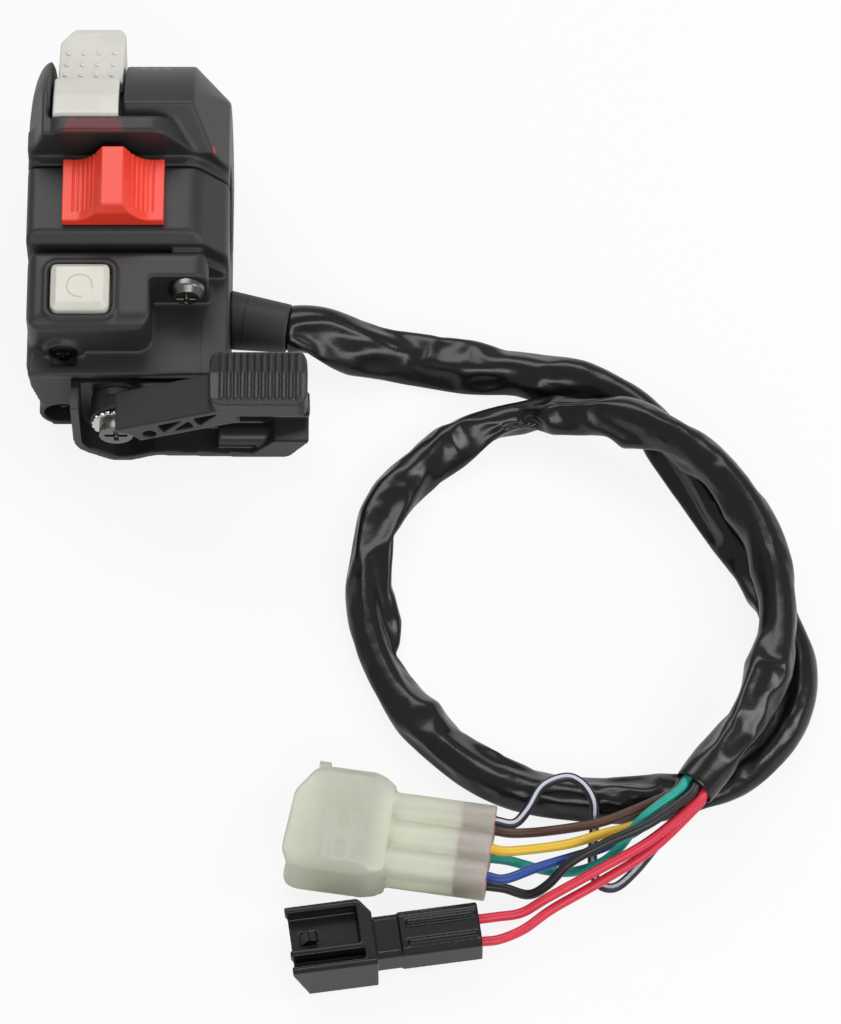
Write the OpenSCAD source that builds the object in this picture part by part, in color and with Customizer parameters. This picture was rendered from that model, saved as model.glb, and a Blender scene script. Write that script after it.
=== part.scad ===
// Handlebar switch cluster: a two-piece clamp housing with a lighting lever, an engine stop
// slider, a starter button, a choke lever and a sleeved harness with two plugs.
// The cluster lies on its back. X runs along the handlebar, Z comes out of the switch face,
// and the origin is the middle of the handlebar clamp. All sizes are in millimetres.

/* [Handlebar clamp] */
// Handlebar diameter
bar_d = 22.2; // [21.0:0.1:22.6]
// Length of the housing along the bar
body_w = 44; // [43.5:0.1:46]
// Bar axis to the flat back of the housing
back_depth = 20; // [19.6:0.1:22]
// Wall of the half tubes that grip the bar
saddle_t = 2.5; // [2.2:0.1:2.6]
// Parting gap between the two halves
seam = 0.3; // [0.2:0.05:0.5]

/* [Upper housing] */
// Radius of the crown about the bar axis
crown_r = 33; // [32.8:0.1:34]
// Depth of the visor from the bar axis
visor_z = 32.4; // [32.0:0.1:33.0]
// Height of the visor lip
visor_h = 3.9; // [3.0:0.1:4.2]
// Thickness of the left end flange
flange_t = 5; // [5.0:0.1:5.8]

/* [Lower housing] */
// Depth of the stop switch panel from the bar axis
panel_z = 22; // [21.8:0.1:22.3]
// Depth of the starter block from the bar axis
block_z = 20; // [19.6:0.1:20.2]
// Depth of the lower body from the bar axis
low_z = 8; // [7.8:0.1:8.4]
// Wall thickness of the housings
wall = 2.2; // [1.9:0.1:2.3]
// Bar axis to the underside of the lower body
low_h = 42; // [41.8:0.1:43]

/* [Switches] */
// Width of the lighting lever
knob_w = 14.4; // [14.0:0.1:15.4]
// Reach of the lighting lever's tip past the crown
knob_reach = 7.7; // [6:0.1:10]
// Width of the stop knob
stop_w = 22.2; // [20.0:0.1:24.0]
// Height of the stop knob ridge over the panel
stop_ridge = 8.2; // [7.0:0.1:8.6]
// Travel of the stop knob to each side
stop_travel = 4; // [3.0:0.1:4.2]
// Width of the starter button
button_w = 12.8; // [12.0:0.1:13.2]
// Height of the starter button
button_h = 11.4; // [10.6:0.1:11.6]
// Button face over the starter block
button_out = 2.6; // [2.0:0.1:3.2]
// Clearance round moving pieces
slide_gap = 0.3; // [0.25:0.05:0.4]

/* [Choke lever] */
// Depth of the lever under the bar axis
lever_low = 57.5; // [56.5:0.1:58.5]
// Pivot screw shoulder diameter
pivot_d = 6; // [5.6:0.1:6.2]
// Number of ribs on the thumb pad
pad_ribs = 12; // [8:1:12]
// Diameter of the choke cable seat
cable_seat_d = 5.2; // [4.4:0.1:5.6]

/* [Fasteners] */
// Housing screw diameter
screw_d = 5; // [4.6:0.1:5.2]
// Housing screw head diameter
head_d = 7.8; // [7.0:0.1:8.0]

/* [Harness] */
// Sleeve diameter
sleeve_d = 9.8; // [9.0:0.1:9.9]
// Wire diameter
wire_d = 2.1; // [1.6:0.1:2.1]
// Wall of the six way plug
plug_wall = 1.6; // [1.2:0.1:1.8]

/* [Hidden] */
$fn = 64;

half_w = body_w / 2;
bore_r = bar_d / 2;
saddle_r = bore_r + saddle_t;
back_z = -back_depth;
seam_y = seam / 2;
screw_r = screw_d / 2;
head_r = head_d / 2;

// Housing screws: one in front of the bar on the right, one behind it on the left
front_screw = [half_w - 9, 15.5];
rear_screw = [-half_w + 7, -14.6];
rear_seat_y = -low_h + 6;
front_seat_y = -26.5;
post_r = 4.4;
screw_top = 12;

// Upper housing
visor_y = 2.7;
visor_top = visor_y + visor_h;
crease_y = 10.6;
crease_z = sqrt(crown_r * crown_r - crease_y * crease_y);
brow_z = panel_z + 0.5;
flange_r = crown_r + 1.2;
ch_x0 = -half_w + flange_t;
ch_x1 = ch_x0 + knob_w + 1.8;
floor_r = crown_r - 4.6;
cav_r = floor_r - 3;
knob_x0 = ch_x0 + 0.6;
knob_x1 = knob_x0 + knob_w;
knob_r = floor_r + slide_gap;
knob_tip_r = crown_r + knob_reach;
rotor_x0 = ch_x0 + 1.2;
rotor_x1 = ch_x0 + 13.7;
stem_a0 = 57;
stem_a1 = 65;
light_swing = 30;
detent_a = 61;
detent_r = (saddle_r + cav_r) / 2 + 0.5;

// Stop switch
carrier_w = 14;
stop_x = front_screw[0] - post_r - 0.6 - stop_travel - carrier_w / 2;
stop_y0 = -15.1;
stop_y1 = 0.3;
stop_z0 = panel_z + slide_gap;
panel_in = panel_z - 2.3;
carrier_z1 = panel_in - slide_gap;
carrier_z0 = carrier_z1 - 2.8;
stop_bridge_z0 = carrier_z0 - 0.7;
stop_pad_z = stop_bridge_z0 - 0.2;
stop_base_z1 = stop_pad_z - 0.4;
stop_base_z0 = stop_base_z1 - 1.4;
stop_ball_r = 1.2;
stop_ball_y = -11.9;
stop_ball_z = carrier_z0 - 0.7;

// Starter
block_y0 = -low_h + 3.4;
block_x0 = -half_w + 0.4;
recess_x = -half_w + 27.2;
but_x = -half_w + 12.1;
but_y = block_y0 + 8.7;
block_in = block_z - 2.2;
but_face = block_z + button_out;
but_flange_z1 = block_in - slide_gap;
but_flange_z0 = but_flange_z1 - 1.9;
start_travel = 2.5;
start_base_z0 = 2.6;
start_base_z1 = 4.2;
start_pad_z = start_base_z1 + 0.4;
bridge_z0 = start_pad_z + 0.2 + start_travel;
bridge_z1 = bridge_z0 + 0.8;
base_screw = [-half_w + 8.1, 9];
base_y0 = block_y0 + 2.3;
base_x0 = -half_w + 2.7;
base_x1 = but_x + 7.7;

// Choke
pivot = [-2.4, -0.3];
pivot_r = pivot_d / 2;
plate_y1 = -low_h;
plate_y0 = plate_y1 - 2.5;
rim_y = plate_y0 - 6.5;
washer_y0 = plate_y0 - 0.9;
hub_y1 = washer_y0 - 0.2;
hub_y0 = hub_y1 - 5.7;
lock_y1 = hub_y0 - 0.2;
lock_y0 = lock_y1 - 0.9;
pad_x0 = 18.4;
pad_x1 = 39.6;
pad_z0 = 12.4;
pad_z1 = 19.4;
skirt_y = -low_h - 2.3;
pad_y1 = skirt_y - 0.7;
pad_round = 2.4;
pad_rib_w = 0.8;
pad_rib_h = 0.5;
pad_pitch = (pad_x1 - pad_x0 - 4.8) / (pad_ribs - 1);
// Hollow face of the thumb pad from its lower edge to its upper edge, as Y and Z
pad_face = [[-lever_low, pad_z1 - 0.8], [-lever_low + 1, pad_z1 + 0.2], [-lever_low + 7.8, pad_z1 - 0.4],
    [pad_y1 - 0.6, pad_z1 + 0.9], [pad_y1, pad_z1 + 0.3]];
cable_y = rim_y + 3.4;
cable_z = -14.2;
seat_r = cable_seat_d / 2;

// Grommet
grom_y = -21;
grom_z = -10;
grom_a = 9.5;
grom_l = 13;
grom_end = [half_w + grom_l * cos(grom_a), grom_y - grom_l * sin(grom_a), grom_z];

// Plugs
six_at = [79, -149.3, back_z + 8];
six_a = -8.5;
six_pitch = 6.5;
six_row = 2.5;
six_front = -43.9;
six_w = 24.4;
six_off = 0.4;
six_far = six_off + six_w / 2;
six_near = six_off - six_w / 2;
six_h = 16;
two_at = [76.5, -166.6, back_z + 6.8];
two_a = 8;
two_pitch = 2.6;
two_front = -40.6;
two_back = -25.6;
two_floor = 3.2;
two_w = 15.4;
two_off = 0.7;
two_h = 13.6;

// Sleeve route: from the grommet right across the table, once round, and on over itself
lie = back_z + 5;
over = lie + 10.4;
sleeve_path = [grom_end + [0.2, -0.03, 0], grom_end + [4.9, -0.82, -0.2], [52, -27.4, -12.8],
    [64, -29.5, lie], [76, -32, lie], [88, -33.5, lie], [99, -35.5, lie], [109, -39, lie],
    [117, -46, lie], [124, -56, lie], [130, -67, lie], [136, -78, lie], [142, -90, lie],
    [145.5, -102, lie], [144.5, -113, lie], [139, -123, lie], [131, -130, lie], [120, -134, lie],
    [109, -135, lie], [97, -134.5, lie], [85, -132, lie], [74, -126.5, lie], [64, -117, lie],
    [57, -105, lie], [53.5, -92, lie], [53.5, -78, lie], [57.5, -65, lie], [65.5, -54.5, lie],
    [76, -47.5, lie], [88, -45, lie + 1.6], [100, -47, lie + 6], [109, -49.5, over - 0.9],
    [118, -54, over], [127.5, -62, over], [134.5, -73, over], [138.5, -86, over],
    [139.5, -99, over], [136.5, -112, over], [131, -124, over], [122, -137.5, over]];
sleeve_line = smooth(sleeve_path, 2);

// Wire routes: from the cut end of the sleeve to the backs of the plugs
brown_path = [[119.5, -136.1, -4.6], [117.9, -138.4, -4.6], [109.5, -141, -8], [101.5, -142.9, -10.6],
    [91, -143.2, -14], six_pin(1, -1, 4), six_pin(1, -1, 0)];
green_path = [[120.4, -136.7, -2.3], [118.8, -139, -2.3], [111, -144.6, -4.6], [106.5, -149, -9],
    [102.5, -151, -13], [96.5, -152, -15.5], [90.5, -151.4, -16], six_pin(0, -1, 4),
    six_pin(0, -1, 0)];
yellow_path = [[121.9, -137.7, -4.6], [120.3, -140, -4.6], [110, -144.3, -8], [103, -146, -9],
    [94.5, -148.4, -9.5], six_pin(0, 1, 4), six_pin(0, 1, 0)];
black_path = [[122.4, -138.1, -1.8], [120.9, -140.4, -1.8], [112.5, -146.5, -2.6], [104, -149.6, -5],
    [96, -153, -8], [91, -156.6, -12], [87, -157.8, -14.4], six_pin(-1, -1, 4),
    six_pin(-1, -1, 0)];
blue_path = [[120.4, -136.7, -6.9], [118.8, -139, -6.9], [111, -143.8, -11], [103.5, -147.6, -12.2],
    [97, -150, -11.8], [89, -153.3, -10.2], six_pin(-1, 1, 4), six_pin(-1, 1, 0)];
stripe_path = [[122.4, -138.1, -7.4], [120.9, -140.4, -7.4], [115.5, -145.5, -12.5],
    [110, -150.8, -17.4], [105.5, -154.3, -18.6], [101.8, -153.2, -18.6], [100.8, -148.5, -18.2],
    [101, -143.8, -16.5], [101.2, -140.9, -13], [100.8, -138, -9.2], [98.5, -134.8, -8],
    [95, -133.4, -7.8], [90, -135.5, -8], [86.8, -140.6, -8.8], six_pin(1, 1, 4),
    six_pin(1, 1, 0)];
red_a_path = [[124.1, -139.1, -3.3], [122.5, -141.4, -3.3], [112.5, -149.5, -5], [101.5, -155, -8],
    [91, -160, -11], [85.5, -162.5, -13.2], two_pin(1, 4), two_pin(1, 0)];
red_b_path = [[124.1, -139.1, -5.9], [122.5, -141.4, -5.9], [113, -150.4, -7.6], [102.3, -156.5, -10.4],
    [92, -161.9, -12.6], [86, -166, -13.8], two_pin(-1, 4), two_pin(-1, 0)];

// Leads inside the housing
light_lead_path = [[17.2, -21, -12], [11, -19.5, -14.2], [7.5, -14, -15.4], [7, -4, -15.4],
    [7, 8, -15.4], [7, cav_r - 9.9, -14.6], [6, cav_r - 5.4, -9], [4.4, cav_r - 3.9, -3],
    [rotor_x1 + 5.2, cav_r - 4.1, -0.5], [rotor_x1 + 4.25, cav_r - 4.2, 0]];
stop_lead_path = [[17.2, -19.6, -8.8], [15, -18.8, -4], [10, -18, 4], [4, -17, 9.5], [-1, -15.6, 12.4],
    [-3, -14.6, 14]];
start_lead_path = [[17.2, -22.8, -9], [10, -25, -7.5], [1, -27.5, -3.5], [-5, -29.3, -0.2],
    [-9, -30, 1.2]];

function six_pin(c, r, d) = six_at + [d * cos(six_a) - c * six_pitch * sin(six_a),
    d * sin(six_a) + c * six_pitch * cos(six_a), r * six_row];
function two_pin(c, d) = two_at + [d * cos(two_a) - c * two_pitch * sin(two_a),
    d * sin(two_a) + c * two_pitch * cos(two_a), 0];
function unit(v) = v / norm(v);
function pol(r, a) = [r * sin(a), r * cos(a)];

// A profile with its corners rounded in flats, one radius to each point
function rounded(p, r) = let (n = len(p)) [for (i = [0 : n - 1])
    each corner(p[(i + n - 1) % n], p[i], p[(i + 1) % n], r[i])];
function corner(a, b, c, r) = r == 0 ? [b] : let (u = unit(a - b), v = unit(c - b), h = acos(u * v) / 2,
    m = b + unit(u + v) * r / sin(h), s = b + u * r / tan(h) - m, e = b + v * r / tan(h) - m)
    [for (j = [0 : 4]) m + r * unit(s * (4 - j) + e * j)];

// A smooth curve through hand-placed points, k pieces to each span
function smooth(p, k) = concat([for (i = [0 : len(p) - 2], j = [0 : k - 1])
    spline(i > 0 ? p[i - 1] : 2 * p[0] - p[1], p[i], p[i + 1],
        i + 2 < len(p) ? p[i + 2] : 2 * p[i + 1] - p[i], j / k)], [p[len(p) - 1]]);
function spline(a, b, c, d, t) = 0.5 * (2 * b + (c - a) * t + (2 * a - 5 * b + 4 * c - d) * t * t
    + (3 * b - a - 3 * c + d) * t * t * t);
function tangent(p, i) = unit(p[min(i + 1, len(p) - 1)] - p[max(i - 1, 0)]);
function ring_at(p, i, r, n) = let (t = tangent(p, i), s = unit(cross(t, [0, 0, 1])), u = cross(s, t))
    [for (k = [0 : n - 1]) p[i] + r * (cos(360 * k / n) * s + sin(360 * k / n) * u)];
function coil(r, z0, z1, turns, steps) = [for (i = [0 : turns * steps])
    [r * cos(360 * i / steps), r * sin(360 * i / steps), z0 + (z1 - z0) * i / (turns * steps)]];

// Least distance between pieces of a route that are more than six points apart
function self_gap(p) = min([for (i = [0 : len(p) - 8], j = [i + 7 : len(p) - 1]) norm(p[i] - p[j])]);
echo(least_sleeve_gap = self_gap(sleeve_line) - sleeve_d);

module tube(p, r, n) {
    m = len(p);
    polyhedron(
        points = [for (i = [0 : m - 1]) each ring_at(p, i, r, n)],
        faces = concat([[for (k = [0 : n - 1]) k]],
            [for (i = [0 : m - 2], k = [0 : n - 1])
                [i * n + k, (i + 1) * n + k, (i + 1) * n + (k + 1) % n, i * n + (k + 1) % n]],
            [[for (k = [n - 1 : -1 : 0]) (m - 1) * n + k]]));
}

// A profile of Y and Z drawn out along X
module along_x(x0, x1) {
    translate([x0, 0, 0]) rotate([90, 0, 90]) linear_extrude(x1 - x0) children();
}

// A plan of X and Z drawn out along Y
module along_y(y0, y1) {
    translate([0, y1, 0]) rotate([90, 0, 0]) linear_extrude(y1 - y0) children();
}

// A ring piece about the bar axis, angles from the front over the top
module arc_x(x0, x1, r0, r1, a0, a1) {
    rotate([0, 90, 0]) rotate([0, 0, 180 - a1]) rotate_extrude(angle = a1 - a0)
        translate([r0, x0]) square([r1 - r0, x1 - x0]);
}

module rod_x(y, z, x0, x1, r) {
    translate([x0, y, z]) rotate([0, 90, 0]) cylinder(h = x1 - x0, r = r);
}

module rod_y(p, y0, y1, r) {
    translate([p[0], y0, p[1]]) rotate([-90, 0, 0]) cylinder(h = y1 - y0, r = r);
}

module block(a, b) {
    translate(a) cube(b - a);
}

module round_rect(w, h, r) {
    polygon(rounded([[-w / 2, -h / 2], [w / 2, -h / 2], [w / 2, h / 2], [-w / 2, h / 2]], [r, r, r, r]));
}

module base_plan() {
    polygon(rounded([[-half_w + 2, back_z], [-half_w, back_z + 2], [-half_w, panel_z], [half_w - 7, panel_z],
        [half_w, panel_z - 8], [half_w, back_z + 2], [half_w - 2, back_z]], [0, 0, 2.2, 5, 4, 0, 0]));
}

module upper_outer() {
    intersection() {
        rotate([0, 90, 0]) rotate_extrude() polygon(concat([[0, -half_w]],
            [for (t = [0 : 15 : 90]) [20.5 + (flange_r - 20.5) * sin(t), -half_w + 4.6 - 4.6 * cos(t)]],
            [[flange_r, ch_x0 - 0.4], [crown_r, ch_x0 - 0.4], [crown_r, half_w - 7.7], [crown_r - 8, half_w],
            [0, half_w]]));
        union() {
            along_y(visor_y, crown_r + 5) polygon([[-half_w + 2, back_z], [-half_w, back_z + 2],
                [-half_w, 21.5], [-half_w + 3.5, crease_z], [half_w - 7.7, crease_z], [half_w, 16],
                [half_w, back_z + 2], [half_w - 2, back_z]]);
            along_y(seam_y, visor_y + 0.01) base_plan();
        }
        union() {
            block([-half_w - 1, 0, back_z - 1], [ch_x0 - 0.4, crown_r + 5, crown_r + 5]);
            along_x(ch_x0 - 0.5, half_w + 1) polygon([[0, back_z - 1], [0, brow_z], [visor_y, brow_z],
                [crease_y, crease_z], [crease_y, crown_r + 5], [crown_r + 5, crown_r + 5],
                [crown_r + 5, back_z - 1]]);
        }
    }
    intersection() {
        along_x(-half_w, half_w) polygon(rounded([[visor_y, 20], [visor_y, visor_z], [visor_top, visor_z],
            [visor_top + 1.2, visor_z - 2.4], [visor_top + 1.2, 20]], [0, 0.8, 0.8, 0, 0]));
        along_y(0, 12) polygon(rounded([[-half_w, 18], [-half_w, brow_z + 1.2], [-half_w + 6, visor_z],
            [half_w - 14.7, visor_z], [half_w - 6.8, brow_z - 0.3], [half_w - 6.8, 18]], [0, 0, 5, 6, 0, 0]));
    }
}

module upper_housing() {
    color([0.13, 0.13, 0.14]) difference() {
        upper_outer();
        rod_x(0, 0, -half_w - 1, half_w + 1, bore_r);
        arc_x(ch_x0, ch_x1, floor_r, crown_r + 6, 12.6, 114);
        difference() {
            union() {
                arc_x(ch_x0, front_screw[0] - 2, saddle_r, cav_r, 12, 132);
                arc_x(front_screw[0] - 2.1, half_w - 3.5, saddle_r, cav_r - 5.9, 12, 132);
            }
            rod_y(front_screw, 0, 16, post_r);
        }
        arc_x(rotor_x0 + 3.9, rotor_x1 - 2.4, cav_r - 0.5, floor_r + 0.2, 54, 98);
        arc_x(ch_x0 - 0.8, ch_x0 + 0.1, detent_r - 1.4, detent_r + 1.4, 55, 97);
        for (a = [0, 15, 30])
            rod_x(detent_r * sin(detent_a + a), detent_r * cos(detent_a + a), ch_x0 - 1.3, ch_x0, 0.8);
        rod_y(front_screw, -1, screw_top + 1.5, screw_r + 0.05);
        rod_y(rear_screw, -1, screw_top + 1.5, screw_r + 0.05);
        block([5, -1, -17], [9, cav_r - 5.9, -13.8]);
    }
}

module lower_outer() {
    intersection() {
        along_y(-18.4, -seam_y) base_plan();
        along_x(-half_w, half_w) polygon([[-seam_y, back_z], [-seam_y, panel_z], [-16.1, panel_z],
            [-18.4, panel_z - 2.6], [-18.4, back_z]]);
    }
    along_y(-20.2, -18.3) polygon([[-half_w + 2, back_z], [-half_w + 1, back_z + 2],
        [-half_w + 1, 14.5], [-half_w + 2, 16], [half_w - 7, 16], [half_w - 1, 10],
        [half_w - 1, back_z + 2], [half_w - 2.5, back_z]]);
    along_y(-low_h, -18.4) polygon([[-half_w + 4.5, back_z], [-half_w + 0.5, -2], [-half_w, low_z - 1],
        [-half_w + 1, low_z], [half_w, low_z], [half_w, back_z + 1.5], [half_w - 1.5, back_z]]);
    intersection() {
        translate([0, 0, low_z - 1]) linear_extrude(block_z - low_z + 1) polygon(rounded([[block_x0, -20],
            [half_w - 4.2, -20], [half_w - 4.2, front_seat_y], [recess_x, front_seat_y], [recess_x, block_y0],
            [block_x0, block_y0]], [2.5, 2.5, 0, 0, 3, 3]));
        along_x(-half_w, half_w) polygon(rounded([[-19, 0], [-20, block_z], [block_y0, block_z],
            [block_y0 - 1, 0]], [0, 2, 3.5, 0]));
        along_y(-low_h, -15) polygon(rounded([[block_x0 - 1, 0], [block_x0, block_z], [half_w - 4.2, block_z],
            [half_w - 3.2, 0]], [0, 3, 3.5, 0]));
    }
    block([-half_w + 0.4, skirt_y, low_z - wall], [half_w - 0.2, -low_h + 1, low_z]);
    rod_y(base_screw, block_y0 - 1.2, block_y0 + 0.6, 4.4);
    rod_y(rear_screw, -low_h, -18, 5.2);
    translate([but_x, but_y, block_z - 0.1]) linear_extrude(0.7) difference() {
        round_rect(button_w + 3, button_h + 3.2, 2.6);
        round_rect(button_w + 1.2, button_h + 1.4, 1.9);
    }
}

// Ledges that carry the starter's contact base
module start_ledges() {
    block([-half_w, block_y0 + 2.1, 1], [-half_w + 4.5, -24, start_base_z0]);
    block([base_x1 - 1.9, -low_h, 1], [base_x1 + 0.1, -24, start_base_z0]);
}

module lower_hollow() {
    difference() {
        along_y(-15.6, 1) polygon([[-half_w + wall, 0], [-half_w + wall, panel_in], [half_w - 8.1, panel_in],
            [half_w - wall, panel_z - 9], [half_w - wall, 0]]);
        rod_x(0, 0, -half_w, half_w, saddle_r);
        rod_y(front_screw, front_seat_y - 0.5, 2, post_r);
        block([-half_w, -13.4, 9], [-half_w + 5.5, 2, stop_base_z0]);
        block([front_screw[0] - 6.5, -13, 9], [front_screw[0] - 3, -9, stop_base_z0]);
    }
    difference() {
        block([-half_w + 3.2, -23, 0], [front_screw[0] - 0.5, -15, 14]);
        rod_y(front_screw, front_seat_y - 0.5, 2, post_r);
    }
    difference() {
        along_y(-low_h + wall, -14) polygon([[-half_w + 6.2, back_z + wall], [-half_w + 2.6, -2],
            [-half_w + wall, low_z - wall], [half_w - wall, low_z - wall], [half_w - wall, back_z + wall]]);
        rod_y(rear_screw, -low_h, -10, 5.2);
        rod_y(pivot, -low_h, -31, 5);
        start_ledges();
    }
    difference() {
        block([-half_w + 2.6, block_y0 + 2.2, 0], [recess_x - 2.3, -22.2, block_in]);
        start_ledges();
    }
}

module lower_housing() {
    color([0.13, 0.13, 0.14]) difference() {
        lower_outer();
        rod_x(0, 0, -half_w - 1, half_w + 1, bore_r);
        lower_hollow();
        block([stop_x - 4.4 - stop_travel, -10.1, panel_in - 0.5],
            [stop_x + 4.4 + stop_travel, -4.5, panel_z + 1]);
        translate([but_x, but_y, block_in - 0.5]) linear_extrude(4)
            round_rect(button_w + 2 * slide_gap, button_h + 2 * slide_gap, 1.5 + slide_gap);
        rod_y(front_screw, front_seat_y - 1.5, 1, screw_r + 0.2);
        rod_y(rear_screw, -low_h - 1, 1, screw_r + 0.2);
        rod_y(rear_screw, -low_h - 1, rear_seat_y, head_r + 0.2);
        rod_y(pivot, -low_h - 1, -32.5, 2.55);
        rod_x(grom_y, grom_z, half_w - wall - 1, half_w + 1, 5.2);
        rod_y(base_screw, block_y0 - 3.4, block_y0 + 0.5, 3.1);
        rod_y(base_screw, block_y0 + 0.4, block_y0 + 2.6, 1.55);
        block([5, -16, -17], [9, 1, -13.8]);
    }
}

module pan_screw(p, seat, tip) {
    rod_y(p, seat - 1.4, tip, screw_r);
    rod_y(p, seat - 1.5, seat, head_r);
    difference() {
        translate([p[0], seat - 1.5, p[1]]) rotate([90, 0, 0])
            cylinder(h = 1.5, r1 = head_r, r2 = head_r - 1);
        for (a = [0, 90])
            translate([p[0], seat - 2.6, p[1]]) rotate([0, a, 0]) cube([4.4, 2, 0.9], center = true);
    }
}

module housing_screws() {
    color([0.35, 0.34, 0.33]) {
        pan_screw(front_screw, front_seat_y, screw_top);
        pan_screw(rear_screw, rear_seat_y, screw_top);
    }
}

module lighting_knob() {
    color([0.86, 0.85, 0.82]) difference() {
        union() {
            along_x(knob_x0, knob_x1) polygon([pol(knob_r - 3, 13.6), pol(crown_r - 1.8, 13.6),
                pol(crown_r - 1.1, 16), pol(crown_r - 0.6, 28), pol(crown_r - 0.2, 41),
                pol(crown_r - 0.5, 43.5), pol(crown_r - 3, 45), pol(knob_r - 3, 45)]);
            along_x(knob_x0 + 0.7, knob_x1 + 0.6) polygon([pol(knob_r - 3, 40), pol(crown_r - 3, 40),
                pol(crown_r - 1.6, 43), pol(knob_tip_r, 61.5), pol(knob_tip_r + 0.7, 64),
                pol(knob_tip_r + 0.4, 68), pol(crown_r + 1, 81), pol(knob_r - 3, 81)]);
        }
        rod_x(0, 0, knob_x0 - 1, knob_x1 + 1, knob_r);
        rotate([0, 90, 0]) rotate_extrude() polygon([[knob_tip_r - 3.4, knob_x0 - 0.1],
            [knob_tip_r + 5.5, knob_x0 - 0.1], [knob_tip_r + 5.5, knob_x0 + 8],
            [knob_tip_r + 0.5, knob_x0 + 3.8]]);
        rotate([0, 90, 0]) rotate_extrude() polygon([[knob_tip_r - 0.7, knob_x1 + 0.9],
            [knob_tip_r + 0.9, knob_x1 - 0.7], [knob_tip_r + 5.5, knob_x1 - 1.5],
            [knob_tip_r + 5.5, knob_x1 + 0.9]]);
    }
}

module lighting_rotor() {
    color([0.2, 0.2, 0.2]) difference() {
        union() {
            arc_x(rotor_x0, rotor_x1, saddle_r + slide_gap, saddle_r + 3, 20, 96);
            arc_x(rotor_x0, rotor_x1, cav_r - 2.5, cav_r - slide_gap, 26, 93);
            arc_x(rotor_x0, rotor_x1, saddle_r + 2.2, cav_r - 1.2, 54, 68);
            arc_x(rotor_x0 + 4.3, rotor_x1 - 2.8, cav_r - 2, knob_r - 0.05, stem_a0, stem_a1);
        }
        rod_x(detent_r * sin(detent_a), detent_r * cos(detent_a), rotor_x0 - 0.1, rotor_x0 + 5, 1.3);
    }
}

module lighting_moving_contact() {
    color([0.8, 0.65, 0.35]) arc_x(rotor_x1, rotor_x1 + 1.2, detent_r - 2.5, detent_r + 2, 55, 67);
}

module lighting_contact_base() {
    color([0.45, 0.3, 0.2]) arc_x(rotor_x1 + 1.8, rotor_x1 + 4, saddle_r + 0.1, cav_r - 0.1, 30, 110);
}

module lighting_fixed_contacts() {
    color([0.8, 0.65, 0.35]) for (a = [0, 15, 30])
        arc_x(rotor_x1 + 1.5, rotor_x1 + 1.8, detent_r - 1.5, detent_r + 1, 58 + a, 64 + a);
}

module lighting_detent_ball() {
    color([0.8, 0.8, 0.8]) translate([rotor_x0 - 0.3, detent_r * sin(detent_a), detent_r * cos(detent_a)])
        sphere(r = 1.2);
}

module lighting_detent_spring() {
    color([0.7, 0.7, 0.7]) translate([rotor_x0, detent_r * sin(detent_a), detent_r * cos(detent_a)])
        rotate([0, 90, 0]) tube(coil(0.85, 1.2, 4.7, 4, 8), 0.2, 5);
}

function stop_h(x) = abs(x) < 2.4 ? stop_ridge
    : 2.5 + (stop_ridge - 2.5) * pow(max(0, 1 - (abs(x) - 2.4) / 6.4), 2.4);
module stop_knob() {
    color([0.9, 0.22, 0.16]) {
        difference() {
            intersection() {
                translate([stop_x, 0, 0]) along_y(stop_y0, stop_y1) polygon(concat([[stop_w / 2, stop_z0]],
                    [for (j = [24 : -1 : -24]) [j * stop_w / 48, panel_z + stop_h(j * 0.46)]],
                    [[-stop_w / 2, stop_z0]]));
                along_x(stop_x - 15, stop_x + 15) polygon([[stop_y1, stop_z0], [stop_y1, panel_z + 9],
                    [stop_y0 + 1, panel_z + 9], [stop_y0, panel_z + 5.5], [stop_y0, stop_z0]]);
            }
            for (s = [-1, 1], k = [0 : 5])
                translate([stop_x + s * (4.14 + 0.92 * k), 0, panel_z + stop_h(4.14 + 0.92 * k)])
                    along_y(stop_y0 + 2.1, stop_y1 + 1) polygon([[-0.5, 0.5], [0, -0.4], [0.5, 0.5]]);
        }
        block([stop_x - 4, -9.8, carrier_z1], [stop_x + 4, -4.8, stop_z0 + 0.1]);
    }
}

module stop_carrier() {
    color([0.2, 0.2, 0.2]) difference() {
        block([stop_x - carrier_w / 2, -13, carrier_z0], [stop_x + carrier_w / 2, -1.6, carrier_z1]);
        translate([stop_x, stop_ball_y, carrier_z0 - 0.1]) cylinder(h = 2.4, r = stop_ball_r + 0.1);
    }
}

module stop_moving_contact() {
    color([0.8, 0.65, 0.35]) block([stop_x - 5, -9, stop_bridge_z0], [stop_x + 5, -5.5, carrier_z0]);
}

module stop_contact_base() {
    color([0.45, 0.3, 0.2]) difference() {
        block([-half_w + wall + 1.3, -13.4, stop_base_z0],
            [front_screw[0] - post_r - 0.4, -1.2, stop_base_z1]);
        block([stop_x - stop_travel - 1.6, stop_ball_y - 1.45, stop_base_z1 - 1.1],
            [stop_x + stop_travel + 1.6, stop_ball_y + 1.45, stop_base_z1 + 1]);
    }
}

module stop_fixed_contacts() {
    color([0.8, 0.65, 0.35]) for (x = [-7, 0, 7])
        block([stop_x + x - 1.2, -8.6, stop_base_z1], [stop_x + x + 1.2, -5.9, stop_pad_z]);
}

module stop_detent_ball() {
    color([0.8, 0.8, 0.8]) translate([stop_x, stop_ball_y, stop_ball_z]) sphere(r = stop_ball_r);
}

module stop_detent_spring() {
    color([0.7, 0.7, 0.7]) translate([stop_x, stop_ball_y, carrier_z0])
        tube(coil(0.85, 0.8, 2, 2, 8), 0.2, 5);
}

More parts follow.
